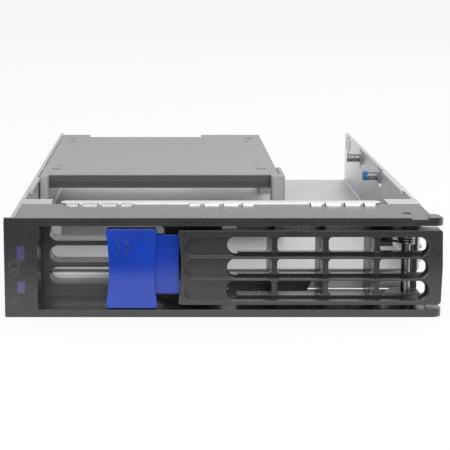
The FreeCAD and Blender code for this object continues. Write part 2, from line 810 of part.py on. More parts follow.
def make_strip():
    """Spring fingers over the bezel's top edge, on a band behind it."""
    z = wall_top
    front = bezel_depth - strip_lap
    left = (bezel_left + bezel_right) / 2 - half_width + strip_inset
    right = left + 2 * (half_width - strip_inset)
    band = solid(rectangle(left, right, front, front + strip_width, strip_corner),
                 on_plan(z), Z_AXIS * strip_thick)
    leg = box(left + leg_inset, right - leg_inset, tray_front, tray_front + strip_thick,
              z - strip_drop, z + strip_thick)
    group = sum(finger_widths) + finger_gap * (len(finger_widths) - 1)
    group_pitch = (right - left - group - 2 * finger_margin) / (finger_groups - 1)
    fingers = []
    for i in range(finger_groups):
        x = left + finger_margin + i * group_pitch
        for width in finger_widths:
            fingers.append(finger(x, width, front))
            x += width + finger_gap
    return join([band, leg] + fingers)


def finger(x, width, root):
    """One bowed finger, as wide as it is given, reaching forward over the bezel."""
    back = V(x, root + lap / 2, wall_top)
    crown = V(x, root - finger_length * finger_crown, wall_top + finger_rise)
    front = V(x, root - finger_length, wall_top + finger_tip)
    lift = Z_AXIS * strip_thick
    side = Part.Wire([
        Part.Arc(back, crown, front).toShape(), Part.makeLine(front, front + lift),
        Part.Arc(front + lift, crown + lift, back + lift).toShape(), Part.makeLine(back + lift, back),
    ])
    return Part.Face(side).extrude(X_AXIS * width)


# Drive adapter

def make_adapter():
    top = wall_top
    under = top - adapter_plate
    base = floor_top + floor_lift
    left, right, front, rear = adapter_left, adapter_right, adapter_front, adapter_rear
    guide_right = right + guide_reach
    foot_top = base + foot_height
    pieces = [
        box(left, right, front, rear, under, top),
        front_beam(),
        box(left, left + left_tail, rear - lap, rear + adapter_tail, under, top),
        box(right - right_tail, right, rear - lap, rear + adapter_tail, under, top),
        solid(rectangle(left, left + left_leg, front - leg_depth, front + beam_thick, lap),
              on_plan(base), Z_AXIS * (top - base)),
        solid(rectangle(right - right_leg, guide_right, front - leg_depth, front + beam_thick, 2 * lap),
              on_plan(base), Z_AXIS * (top - base)),
        box(left, left + left_foot, front - leg_depth, front, base, foot_top),
        box(right + guide_slit, guide_right, front - lap, front + guide_front, base, top),
        box(right - rear_guide, right, rear - guide_rear[0], rear - guide_rear[1], base, under + lap),
        box(right - lap, right + rear_foot, rear - rear_foot_span[0], rear - rear_foot_span[1],
            base, foot_top),
    ]
    return join(pieces).cut(adapter_holes(under, top) + adapter_reliefs(base, top))


def front_beam():
    """Front wall under the plate, with two fine steps near its lower edge."""
    y = adapter_front
    low = wall_top - beam_drop
    back = y + beam_thick + beam_step
    side = [(y, wall_top, 0)]
    for rise in beam_steps:
        side += [(y, low + rise, 0), (y + beam_step, low + rise, 0)]
        y += beam_step
    side += [(y, low, 0), (back, low, 0), (back, wall_top, 0)]
    return solid(side, on_side(adapter_left + past), X_AXIS * (adapter_width - 2 * past))


def adapter_holes(under, top):
    """Drive screw holes and peg holes through the plate, and screw holes in the feet."""
    patterns = [(drive_hole_radius, drive_holes_x, drive_holes_y),
                (peg_hole_radius, peg_holes_x, peg_holes_y)]
    holes = []
    for radius, span_x, span_y in patterns:
        for dx in (-span_x / 2, span_x / 2):
            for dy in (-span_y / 2, span_y / 2):
                x = drive_mid_x + dx
                y = drive_mid_y + dy
                holes.append(rod(radius, V(x, y, under - past), V(x, y, top + past)))
    for x, y in floor_screws.values():
        holes.append(screw_hole(V(x, y, underside), V(x, y, floor_top + floor_screw + lap)))
    return holes


def adapter_reliefs(base, top):
    """Room for the tray's bend and for the strips pushed in from its left wall."""
    wall = -inner_half
    out = adapter_left - past
    reliefs = [box(out, wall + bend_radius + seat_gap, adapter_front - leg_depth - past,
                   adapter_front + beam_thick + 2 * past, base - past, base + bend_radius)]
    half = lance_length / 2 + relief_gap
    for y in seat_ys:
        reliefs.append(box(out, wall + lance_push + relief_gap, y - half, y + half,
                           top - adapter_plate - past, seat_z + lance_strip + relief_gap))
    return reliefs


# Screws

def make_screw(head_centre, direction, length):
    """Low head screw; head_centre is the middle of the head's inner face."""
    head = rod(screw_head_radius, head_centre - direction * screw_head, head_centre)
    shank = rod(screw_radius, head_centre - direction * lap, head_centre + direction * length)
    return join([head, shank])


def write(name, shape):
    shape = shape.copy()
    shape.translate(V(-(bezel_left + bezel_right) / 2, -tray_rear / 2, 0))
    shape.exportStep("parts/" + name + ".step")
    print(name, len(shape.Solids), "solid", "valid" if shape.isValid() else "INVALID")


def write_screws():
    for place, (x, y) in floor_screws.items():
        write("adapter_screw_" + place, make_screw(V(x, y, underside - press_gap), Z_AXIS, floor_screw))
    for y, place in zip(seat_ys[1:], ("rear", "front")):
        strip_face = V(half_width - lance_push + press_gap, y, seat_z)
        write("drive_screw_" + place, make_screw(strip_face, -X_AXIS, drive_screw))
    for side, name in ((-1, "left"), (1, "right")):
        for z, level in zip(side_screw_levels, ("lower", "upper")):
            wall_face = V(side * (half_width + press_gap), side_screw_y, z)
            screw = make_screw(wall_face, X_AXIS * -side, side_screw[side])
            write("bezel_screw_" + name + "_" + level, screw)


def main():
    os.makedirs("parts", exist_ok=True)
    write("bezel", make_bezel())
    write("lever", make_lever())
    write("hinge_pin", make_hinge_pin())
    write("lever_spring", make_lever_spring())
    write("latch", make_latch())
    write("latch_spring", make_latch_spring())
    for (z, height), level in zip(pipe_levels, ("lower", "upper")):
        write("light_pipe_" + level, make_light_pipe(z, height))
    write("tray", make_tray())
    write("shield_strip", make_strip())
    write("drive_adapter", make_adapter())
    write_screws()


main()
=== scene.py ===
import math

import bmesh
import bpy
import numpy as np
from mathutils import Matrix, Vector


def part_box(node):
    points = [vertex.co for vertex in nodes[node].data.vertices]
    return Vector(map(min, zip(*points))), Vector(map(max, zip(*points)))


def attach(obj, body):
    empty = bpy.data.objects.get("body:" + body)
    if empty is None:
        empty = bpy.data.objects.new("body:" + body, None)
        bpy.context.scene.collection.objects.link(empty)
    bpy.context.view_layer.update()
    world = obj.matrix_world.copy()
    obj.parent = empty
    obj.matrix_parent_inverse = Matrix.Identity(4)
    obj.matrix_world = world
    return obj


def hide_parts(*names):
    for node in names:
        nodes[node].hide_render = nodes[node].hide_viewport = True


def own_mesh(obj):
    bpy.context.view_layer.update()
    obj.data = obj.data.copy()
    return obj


# Hot swap drive caddy. Metres, in the row's frame: X right, Y from the bezel to the rear, Z up.
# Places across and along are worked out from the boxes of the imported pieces. The heights of the
# panel's icons are from the caddy's base, at Z = 0.

MM = 0.001
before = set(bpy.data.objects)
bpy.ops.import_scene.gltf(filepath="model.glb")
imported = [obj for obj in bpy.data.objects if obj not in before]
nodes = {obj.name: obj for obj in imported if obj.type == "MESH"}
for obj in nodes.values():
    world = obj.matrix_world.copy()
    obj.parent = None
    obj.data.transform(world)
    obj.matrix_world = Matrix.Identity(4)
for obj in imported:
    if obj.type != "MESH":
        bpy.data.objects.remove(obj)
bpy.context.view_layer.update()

# Finishes, as sRGB hex
ABS_BLACK = "#232325"
ABS_BLACK_WORN = "#2a2a2c"
# painted shade: the dark blue that stands for the latch's engraved arrows
ABS_BLUE_ENGRAVING_SHADE = "#011850"
PRINT_GREY = "#4c4c4f"
PRINT_GREY_THIN = "#3d3d40"
ABS_BLUE = "#00339c"
ABS_BLUE_DEEP = "#002c8c"
ADAPTER_GREY = "#9a9a9b"
ADAPTER_CLOUD = "#949495"
# painted shade on the front face of the adapter's beam
ADAPTER_BEAM_PAINTED_SHADE = "#3c3c3d"
ZINC = "#c9c9ca"
ZINC_CLOUD = "#c0c0c2"
STAINLESS = "#dededd"
STAINLESS_CLOUD = "#d8d8d8"
SCREW_ZINC = "#b9b9ba"
WIRE = "#8e8e90"
PIN_STEEL = "#7b7b7d"
NYLON_BLUE = "#1f6fa8"
PIPE_VIOLET = "#403e62"
PIPE_CLOUD = "#4b4970"
FLOOR_WHITE = "#fbfbfb"
WHITE = "#ffffff"

# Refraction and roughness; where two are given, the least and the most
ABS_IOR = 1.54
POLYCARBONATE_IOR = 1.58
INK_ROUGH = 0.55
ADAPTER_ROUGH = (0.5, 0.62)
PIPE_ROUGH = (0.18, 0.26)
PIPE_CLEAR = 0.15             # share of the light that goes through
SCREW_ROUGH = 0.32
NYLON_ROUGH = 0.6

# Values of a noise between which a finish changes
GRAIN_BAND = (0.3, 0.7)
CLOUD_BAND = (0.35, 0.65)
MELT_BAND = (0.35, 0.7)
PORE_BAND = (0.4, 0.7)

# Sizes of what is added here
EDGE = 0.22 * MM              # rounding of moulded edges
METAL_EDGE = 0.06 * MM        # rounding of cut sheet
GRAIN = 0.28 * MM             # spark eroded grain is near 0.05 mm, drawn coarser so that it shows
ROLL_LINE = 0.22 * MM         # rolling lines of sheet steel, drawn coarser so that they show
MELT_CLOUD = 9 * MM
ADAPTER_FIBRE = 1.6 * MM
ADAPTER_GRAIN = 0.014 * MM    # depth of the grain
PIPE_CLOUD_SIZE = 1.4 * MM
PIPE_RIPPLE = 0.01 * MM
THREAD = 0.5 * MM             # M3 coarse pitch
THREAD_DEPTH = 0.22 * MM
PATCH = 1.3 * MM              # nylon patch, from the screw's tip
HEAD = 1.1 * MM               # height of the screw heads
HEAD_DOME = 0.28              # how far a head falls off at its rim, as a share of its height
RECESS_DEPTH = 0.55           # cross recess, as a share of the head's height
RECESS_REACH = 1.25 * MM
RECESS_ARM = 0.28 * MM        # half the width of an arm
SHANK_RADIUS = 1.45 * MM
TIP_CHAMFER = 0.25 * MM
SCREW_SIDES = 48
PLATING_PORE = 0.5 * MM
PLATING_DEPTH = 0.004 * MM
TABLE_SIZE = 6.0
TABLE_ROUGH = 0.9
TABLE_AHEAD = 50 * MM         # where the table ends for gloss, from the bezel's front
TABLE_BLEND = 6 * MM          # half the width of that edge
TABLE_DARK = 0.03             # beyond that edge, as gloss sees it
TABLE_GLOSS = 1.45            # table near the bezel, as gloss sees it
TABLE_GLOW = 0.86             # share of plain white that the camera sees in the table
ARROW = [(2.1, -1.9), (3.5, -4.1), (2.3, -6.3)]  # mm right and up from the tile's upper left corner
ARROW_STEP = 2.14 * MM
ARROW_LIFT = 0.005 * MM       # off the tile's face, towards -Y
MARK_WIDTH = 0.65 * MM
MARK_HEIGHT = 0.04 * MM
TILE_BOW = 0.35 * MM          # how far the latch's face falls back at its upper and lower edge
ICON_WIDTH = 0.22 * MM
ICON_HEIGHT = 0.02 * MM
ICON_SINK = 0.01 * MM         # into the panel, towards +Y
ICON_X = 2.45 * MM            # from the bezel's left edge
DISK_Z = 11.3 * MM
DISK_TOP_Z = 13.3 * MM
DISK_HALF = (1.15 * MM, 0.72 * MM)
SUN_Z = 4.05 * MM
SUN_RADIUS = 0.55 * MM
SUN_RAY = (0.9 * MM, 1.3 * MM)  # from the sun's middle

X_AXIS, Y_AXIS, Z_AXIS = np.eye(3)


# Materials

def hex_colour(text):
    """sRGB hex to linear RGBA: each channel through the sRGB curve."""
    srgb = np.array([int(text[i:i + 2], 16) / 255 for i in (1, 3, 5)])
    linear = np.where(srgb <= 0.04045, srgb / 12.92, ((srgb + 0.055) / 1.055) ** 2.4)
    return (*linear.tolist(), 1.0)


def add(tree, kind, inputs=None, **settings):
    """Adds one node; inputs maps a socket to a value or to another node's output."""
    node = tree.nodes.new(kind)
    for name, value in settings.items():
        setattr(node, name, value)
    for socket, value in (inputs or {}).items():
        if isinstance(value, bpy.types.NodeSocket):
            tree.links.new(value, node.inputs[socket])
        else:
            node.inputs[socket].default_value = value
    return node


def new_material(name):
    material = bpy.data.materials.new(name)
    material.use_nodes = True
    tree = material.node_tree
    return material, tree, tree.nodes["Principled BSDF"]


def place(tree):
    """Point on the piece, in metres in the row's frame."""
    return add(tree, "ShaderNodeTexCoord").outputs["Object"]


def noise(tree, size, detail, stretch=(1, 1, 1)):
    """Noise whose cells are size metres wide, drawn out along an axis where stretch is below 1."""
    scaled = add(tree, "ShaderNodeMapping", {"Vector": place(tree), "Scale": stretch}).outputs["Vector"]
    inputs = {"Vector": scaled, "Scale": 1 / size, "Detail": detail}
    return add(tree, "ShaderNodeTexNoise", inputs).outputs["Fac"]


def ramp(tree, value, low, high, to_low, to_high):
    """value carried from low..high to to_low..to_high, and held beyond."""
    inputs = {"Value": value, "From Min": low, "From Max": high, "To Min": to_low, "To Max": to_high}
    return add(tree, "ShaderNodeMapRange", inputs).outputs["Result"]


def mix(tree, factor, first, second):
    """Colour mix: factor 0 gives first, 1 gives second. The node's colours are sockets 6, 7 and 2."""
    return add(tree, "ShaderNodeMix", {0: factor, 6: first, 7: second}, data_type="RGBA").outputs[2]


def inside(tree, low, high):
    """1 inside the box low..high, 0 outside: the largest of |p - middle| / half is under 1."""
    middle = [(a + b) / 2 for a, b in zip(low, high)]
    half = [(b - a) / 2 for a, b in zip(low, high)]
    moved = add(tree, "ShaderNodeVectorMath", {0: place(tree), 1: middle}, operation="SUBTRACT").outputs[0]
    scaled = add(tree, "ShaderNodeVectorMath", {0: moved, 1: half}, operation="DIVIDE").outputs[0]
    size = add(tree, "ShaderNodeVectorMath", {0: scaled}, operation="ABSOLUTE").outputs[0]
    split = add(tree, "ShaderNodeSeparateXYZ", {0: size}).outputs
    wide = add(tree, "ShaderNodeMath", {0: split[0], 1: split[1]}, operation="MAXIMUM").outputs[0]
    widest = add(tree, "ShaderNodeMath", {0: wide, 1: split[2]}, operation="MAXIMUM").outputs[0]
    return add(tree, "ShaderNodeMath", {0: widest, 1: 1.0}, operation="LESS_THAN").outputs[0]


def relief(tree, shader, height, depth, edge):
    """Grain of that depth in metres, over edges rounded by edge metres."""
    rounded = add(tree, "ShaderNodeBevel", {"Radius": edge}, samples=6).outputs["Normal"]
    inputs = {"Height": height, "Distance": depth, "Normal": rounded}
    tree.links.new(add(tree, "ShaderNodeBump", inputs).outputs["Normal"], shader.inputs["Normal"])


def moulded_plastic(name, base, worn, rough, grain_depth):
    """ABS from a spark eroded mould: satin, a fine grain, faint clouds where the melt met."""
    material, tree, shader = new_material(name)
    smoother, rougher = 0.05, 0.07
    cloud = noise(tree, MELT_CLOUD, 3.0)
    grain = noise(tree, GRAIN, 3.0)
    colour = mix(tree, ramp(tree, cloud, *MELT_BAND, 0, 1), hex_colour(base), hex_colour(worn))
    tree.links.new(colour, shader.inputs["Base Color"])
    spread = ramp(tree, grain, *GRAIN_BAND, rough - smoother, rough + rougher)
    tree.links.new(spread, shader.inputs["Roughness"])
    shader.inputs["IOR"].default_value = ABS_IOR
    relief(tree, shader, grain, grain_depth, EDGE)
    return material


def black_abs():
    return moulded_plastic("moulded_black_abs", ABS_BLACK, ABS_BLACK_WORN, rough=0.25, grain_depth=0.018 * MM)


def blue_abs():
    return moulded_plastic("moulded_blue_abs", ABS_BLUE, ABS_BLUE_DEEP, rough=0.17, grain_depth=0.006 * MM)


def shaded_blue_abs():
    # painted shade: darker blue for the shade inside the engraved arrows
    return moulded_plastic("moulded_blue_abs_in_shade", ABS_BLUE_ENGRAVING_SHADE, ABS_BLUE_DEEP,
                           rough=0.3, grain_depth=0.004 * MM)


def printed_grey():
    """Pad printing ink: matt, thin, its grey broken a little by the grain under it."""
    material, tree, shader = new_material("pad_printed_grey_ink")
    grain = noise(tree, GRAIN, 3.0)
    thin = ramp(tree, grain, *GRAIN_BAND, 0, 1)
    colour = mix(tree, thin, hex_colour(PRINT_GREY), hex_colour(PRINT_GREY_THIN))
    tree.links.new(colour, shader.inputs["Base Color"])
    shader.inputs["Roughness"].default_value = INK_ROUGH
    return material


def grey_adapter():
    """Glass filled polycarbonate, matt; the front face of its beam is darkened as painted shade of a recess.
    """
    material, tree, shader = new_material("matt_grey_polycarbonate")
    low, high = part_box("drive_adapter")
    beam_left, beam_right = 2.5 * MM, 67.45 * MM
    beam_front = 5.0 * MM
    ahead, behind = 0.2 * MM, 1.0 * MM
    lower_edge, upper_edge = 4.4 * MM, 0.35 * MM
    top = high[2]
    front = low[1] + beam_front
    beam_shade_low = (low[0] + beam_left, front - ahead, top - lower_edge)
    beam_shade_high = (low[0] + beam_right, front + behind, top - upper_edge)
    grain = noise(tree, GRAIN, 3.0)
    fibre = noise(tree, ADAPTER_FIBRE, 4.0)
    share = ramp(tree, fibre, *CLOUD_BAND, 0, 1)
    grey = mix(tree, share, hex_colour(ADAPTER_GREY), hex_colour(ADAPTER_CLOUD))
    # painted shade: a box round the beam's front face takes the dark grey
    colour = mix(tree, inside(tree, beam_shade_low, beam_shade_high), grey, hex_colour(ADAPTER_BEAM_PAINTED_SHADE))
    tree.links.new(colour, shader.inputs["Base Color"])
    tree.links.new(ramp(tree, grain, *GRAIN_BAND, *ADAPTER_ROUGH), shader.inputs["Roughness"])
    shader.inputs["IOR"].default_value = POLYCARBONATE_IOR
    relief(tree, shader, grain, ADAPTER_GRAIN, EDGE)
    return material


def rolled_steel(name, base, cloud_colour, rough, cloud_size, line_depth):
    """Zinc plated or bright rolled sheet: rolling lines along Y and soft clouds in the plating."""
    material, tree, shader = new_material(name)
    drawn_out = 0.02
    smoother, rougher = 0.02, 0.03
    lines = noise(tree, ROLL_LINE, 2.0, stretch=(1, drawn_out, 1))
    cloud = noise(tree, cloud_size, 3.0)
    colour = mix(tree, ramp(tree, cloud, *CLOUD_BAND, 0, 1), hex_colour(base), hex_colour(cloud_colour))
    tree.links.new(colour, shader.inputs["Base Color"])
    spread = ramp(tree, lines, *GRAIN_BAND, rough - smoother, rough + rougher)
    tree.links.new(spread, shader.inputs["Roughness"])
    shader.inputs["Metallic"].default_value = 1.0
    relief(tree, shader, lines, line_depth, METAL_EDGE)
    return material


def turned_steel(name, base, rough):
    """Drawn or turned steel: a little darker and rougher in the pores of its surface."""
    material, tree, shader = new_material(name)
    rougher = 0.1
    pores = noise(tree, PLATING_PORE, 3.0)
    colour = mix(tree, ramp(tree, pores, *PORE_BAND, 0, 1), hex_colour(base), hex_colour(WIRE))
    tree.links.new(colour, shader.inputs["Base Color"])
    tree.links.new(ramp(tree, pores, *GRAIN_BAND, rough, rough + rougher), shader.inputs["Roughness"])
    shader.inputs["Metallic"].default_value = 1.0
    relief(tree, shader, pores, PLATING_DEPTH, METAL_EDGE)
    return material


def locked_screw_steel(tip_low, tip_high):
    """Plated screw steel with a baked nylon patch over the thread's tip, matt and blue."""
    material, tree, shader = new_material("screw_steel_with_nylon_patch")
    patch = inside(tree, tip_low, tip_high)
    pores = noise(tree, PLATING_PORE, 3.0)
    steel = mix(tree, ramp(tree, pores, *PORE_BAND, 0, 1), hex_colour(SCREW_ZINC), hex_colour(WIRE))
    tree.links.new(mix(tree, patch, steel, hex_colour(NYLON_BLUE)), shader.inputs["Base Color"])
    tree.links.new(ramp(tree, patch, 0, 1, 1, 0), shader.inputs["Metallic"])
    tree.links.new(ramp(tree, patch, 0, 1, SCREW_ROUGH, NYLON_ROUGH), shader.inputs["Roughness"])
    relief(tree, shader, pores, PLATING_DEPTH, METAL_EDGE)
    return material


def violet_pipe():
    """Tinted polycarbonate light pipe, milky, a polished end face with a faint paler cloud."""
    material, tree, shader = new_material("milky_violet_polycarbonate")
    cloud = noise(tree, PIPE_CLOUD_SIZE, 2.0)
    share = ramp(tree, cloud, *GRAIN_BAND, 0, 1)
    colour = mix(tree, share, hex_colour(PIPE_VIOLET), hex_colour(PIPE_CLOUD))
    tree.links.new(colour, shader.inputs["Base Color"])
    tree.links.new(ramp(tree, cloud, *GRAIN_BAND, *PIPE_ROUGH), shader.inputs["Roughness"])
    shader.inputs["IOR"].default_value = POLYCARBONATE_IOR
    shader.inputs["Transmission Weight"].default_value = PIPE_CLEAR
    relief(tree, shader, cloud, PIPE_RIPPLE, METAL_EDGE)
    return material


# Surfaces

def grid_faces(rows, columns, wrap_rows, wrap_columns):
    """Quads of a grid, its last row or column joined to the first where it wraps."""
    r = np.arange(rows if wrap_rows else rows - 1)[:, None]
    c = np.arange(columns if wrap_columns else columns - 1)[None, :]
    r2 = (r + 1) % rows
    c2 = (c + 1) % columns
    quads = np.stack([r * columns + c, r * columns + c2, r2 * columns + c2, r2 * columns + c], axis=-1)
    return quads.reshape(-1, 4)


def build(name, grids, material, body, stands_for=()):
    """One piece from several grids of points, each (points, wrap_rows, wrap_columns).

    A tube, whose columns wrap and whose rows don't, is closed with a face at each end.
    """
    points, faces, start = [], [], 0
    for grid, wrap_rows, wrap_columns in grids:
        rows, columns, _ = grid.shape
        points.append(grid.reshape(-1, 3))
        faces += (grid_faces(rows, columns, wrap_rows, wrap_columns) + start).tolist()
        if wrap_columns and not wrap_rows:
            faces.append(list(range(start + columns - 1, start - 1, -1)))
            faces.append(list(range(start + (rows - 1) * columns, start + rows * columns)))
        start += rows * columns
    mesh = bpy.data.meshes.new(name)
    mesh.from_pydata(np.concatenate(points).tolist(), [], faces)
    mesh.validate()
    make_outward(mesh)
    mesh.materials.append(material)
    piece = bpy.data.objects.new(name, mesh)
    bpy.context.scene.collection.objects.link(piece)
    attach(piece, body)
    if stands_for:
        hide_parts(*stands_for)
    return piece


def make_outward(mesh):
    """Turns the faces of each closed part outwards, and smooths those that meet gently."""
    same_place = 1e-7
    gentle = math.radians(38)
    work = bmesh.new()
    work.from_mesh(mesh)
    bmesh.ops.remove_doubles(work, verts=work.verts, dist=same_place)
    bmesh.ops.recalc_face_normals(work, faces=work.faces)
    work.to_mesh(mesh)
    work.free()
    mesh.shade_smooth()
    mesh.set_sharp_from_angle(angle=gentle)


def unit(vectors):
    return vectors / np.linalg.norm(vectors, axis=-1, keepdims=True)


def wire(path, radius, axis, sides=12):
    """Round wire: point = path + radius * (cos(v) * first + sin(v) * second).

    first is axis x tangent and second is tangent x first, so the circle is square to the path.
    """
    tangent = unit(np.gradient(path, axis=0))
    first = unit(np.cross(axis, tangent))
    second = np.cross(tangent, first)
    v = np.linspace(0, 2 * math.pi, sides, endpoint=False)[None, :, None]
    circle = np.cos(v) * first[:, None] + np.sin(v) * second[:, None]
    return path[:, None] + radius * circle, False, True


def ridge(path, width, height, closed=False, sides=7):
    """Raised line on a face that looks to -Y: a half ellipse carried along the path.

    point = path + cos(v) * across * width / 2 - max(sin(v), -0.2) * height * Y
    """
    step = np.roll(path, -1, axis=0) - np.roll(path, 1, axis=0) if closed else np.gradient(path, axis=0)
    across = unit(np.cross(unit(step), Y_AXIS))
    v = np.linspace(0, 2 * math.pi, 2 * sides, endpoint=False)[None, :, None]
    under = -0.2
    rise = np.maximum(np.sin(v), under)
    section = np.cos(v) * across[:, None] * width / 2 - rise * Y_AXIS * height
    return path[:, None] + section, closed, True


def on_face(u, v, y):
    """Points (u, y, v) on a plane square to Y."""
    return np.stack([u, np.full_like(u, y), v], axis=-1)


def line(points, per_run=10):
    """Straight runs through the points, per_run steps each."""
    points = np.asarray(points, dtype=float)
    t = np.linspace(0, len(points) - 1, per_run * (len(points) - 1) + 1)
    return np.stack([np.interp(t, np.arange(len(points)), points[:, k]) for k in range(3)], axis=-1)


# Screws

def cross_recess(r, angle, reach, half_width):
    """Depth share of a cross recess: 1 in four arms of half_width up to reach, tapering outwards.

    share = clip((half_width - aside) / flank, 0, 1) * clip((reach - r) / run, 0, 1)
    """
    turned = (angle + math.pi / 4) % (math.pi / 2) - math.pi / 4
    aside = np.abs(r * np.sin(turned))
    flank, run = 0.35 * half_width, 0.4 * reach
    return np.clip((half_width - aside) / flank, 0, 1) * np.clip((reach - r) / run, 0, 1)


def screw(node, direction, thread_material):
    """Pan head screw on a CAD screw's axis, from its head's top towards direction.

    One grid of rings: the domed head with its recess, the head's side and underside,
    then a shank whose radius follows a helix, and the chamfered tip. On the shank,
    radius = SHANK_RADIUS - THREAD_DEPTH * (0.5 + 0.5 * cos(2 pi depth / THREAD - angle)) ** 1.5.
    """
    low, high = (np.array(corner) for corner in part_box(node))
    direction = np.array(direction, dtype=float)
    along = int(np.argmax(np.abs(direction)))
    middle = (low + high) / 2
    length = high[along] - low[along]
    start = middle - direction * length / 2
    head_radius = (high - low)[(along + 1) % 3] / 2
    first = np.eye(3)[(along + 1) % 3]
    second = np.cross(direction, first)
    angle = np.linspace(0, 2 * math.pi, SCREW_SIDES, endpoint=False)[None, :]

    r_head = np.linspace(0.02, 1.0, 18)[:, None] * head_radius
    dome = HEAD * HEAD_DOME * (r_head / head_radius) ** 3
    depth = dome + RECESS_DEPTH * HEAD * cross_recess(r_head, angle, RECESS_REACH, RECESS_ARM)
    r_side = np.array([1.0, 0.985, 0.55])[:, None] * head_radius
    d_side = np.array([0.75, 1.0, 1.0])[:, None] * HEAD
    rings_per_pitch, fewest = 7, 24
    rings = max(fewest, int((length - HEAD) / THREAD * rings_per_pitch))
    d_shank = np.linspace(HEAD, length - TIP_CHAMFER, rings)[:, None]
    wave = 0.5 + 0.5 * np.cos(2 * math.pi * d_shank / THREAD - angle)
    r_shank = SHANK_RADIUS - THREAD_DEPTH * wave ** 1.5
    r_tip = np.array([0.8, 0.4])[:, None] * SHANK_RADIUS
    d_tip = np.array([1.0, 1.0])[:, None] * length

    flat = np.ones_like(angle)
    radius = np.concatenate([r_head * flat, r_side * flat, r_shank, r_tip * flat])[..., None]
    travel = np.concatenate([depth, d_side * flat, d_shank * flat, d_tip * flat])[..., None]
    ring = np.cos(angle)[..., None] * first + np.sin(angle)[..., None] * second
    points = start + travel * direction + radius * ring
    return build(node + "_turned", [(points, False, True)], thread_material, "carrier", [node])


def make_screws():
    plated = turned_steel("zinc_plated_screw_steel", SCREW_ZINC, rough=0.30)
    for name in ("front_left", "front_right", "rear"):
        screw("adapter_screw_" + name, Z_AXIS, plated)
    for level in ("lower", "upper"):
        screw("bezel_screw_left_" + level, X_AXIS, plated)
        screw("bezel_screw_right_" + level, -X_AXIS, plated)
    screw("drive_screw_rear", -X_AXIS, plated)
    low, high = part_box("drive_screw_front")
    tip = [value - MM for value in low], (low[0] + PATCH, high[1] + MM, high[2] + MM)
    screw("drive_screw_front", -X_AXIS, locked_screw_steel(*tip))


# Springs

def make_latch_spring(material):
    """Compression spring: a helix round X whose first and last turns lie closed.

    (y, z) = middle + coil * (cos, sin)(2 pi turns t), while x climbs by closed_pitch over the
    first turn and the last, and evenly over the free length between them.
    """
    low, high = (np.array(corner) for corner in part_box("latch_spring"))
    radius = 0.25 * MM
    turns = 5.0
    points_per_turn = 26
    closed_pitch = 2 * radius * 1.04
    coil = (high[2] - low[2]) / 2 - radius
    t = np.linspace(0, 1, int(turns * points_per_turn))
    ease = np.clip((t * turns - 1) / (turns - 2), 0, 1)
    wound = closed_pitch * (np.clip(t * turns, 0, 1) + np.clip(t * turns - (turns - 1), 0, 1))
    free = (high[0] - low[0]) - 2 * radius - closed_pitch * 2
    x = low[0] + radius + wound + free * ease
    angle = 2 * math.pi * turns * t
    middle = (low + high) / 2
    path = np.stack([x, middle[1] + coil * np.cos(angle), middle[2] + coil * np.sin(angle)], axis=-1)
    piece = build("latch_spring_wire", [wire(path, radius, X_AXIS)], material, "carrier",
                  ["latch_spring"])
    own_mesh(piece)


def make_lever_spring(material):
    """Torsion spring: a left hand helix round the pin with a straight leg at each end.

    (x, y) = pin + coil * (cos, sin)(pi / 2 - 2 pi turns t), with z even in t.
    """
    low, high = (np.array(corner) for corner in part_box("lever_spring"))
    pin_low, pin_high = (np.array(corner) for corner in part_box("hinge_pin"))
    axis = (pin_low + pin_high) / 2
    radius = 0.3 * MM
    coil = 1.9 * MM
    turns = 3.5
    steps = 100
    angle = math.pi / 2 - 2 * math.pi * turns * np.linspace(0, 1, steps)
    z = np.linspace(low[2] + radius, high[2] - radius, steps)
    helix = np.stack([axis[0] + coil * np.cos(angle), axis[1] + coil * np.sin(angle), z], axis=-1)
    foot_x = low[0] + radius
    rear_foot = np.array([foot_x, high[1] - radius, helix[0][2]])
    front_foot = np.array([foot_x, low[1] + radius, helix[-1][2]])
    path = np.concatenate([line([rear_foot, helix[0]])[:-1], helix, line([helix[-1], front_foot])[1:]])
    build("lever_spring_wire", [wire(path, radius, Z_AXIS)], material, "carrier",
          ["lever_spring"])


# Marks on the front: painted shade for the latch's engraved arrows, and the panel's printed icons

def make_latch_arrow_shade(material):
    """Two engraved arrows near the tile's upper left corner, each with one bend, drawn as dark ridges:
    painted shade of the engraving.

    They follow the bowed face: y = front + TILE_BOW * ((z - middle) / half) ** 2 - ARROW_LIFT.
    """
    low, high = (np.array(corner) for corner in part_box("latch"))
    middle, half = (low[2] + high[2]) / 2, (high[2] - low[2]) / 2
    bends = np.array(ARROW) * MM
    grids = []
    for step in (0, ARROW_STEP):
        path = line([(low[0] + u + step, low[1], high[2] + v) for u, v in bends])
        path[:, 1] += TILE_BOW * ((path[:, 2] - middle) / half) ** 2 - ARROW_LIFT
        grids.append(ridge(path, MARK_WIDTH, MARK_HEIGHT))
    build("latch_arrow_engraving_shade", grids, material, "latch")


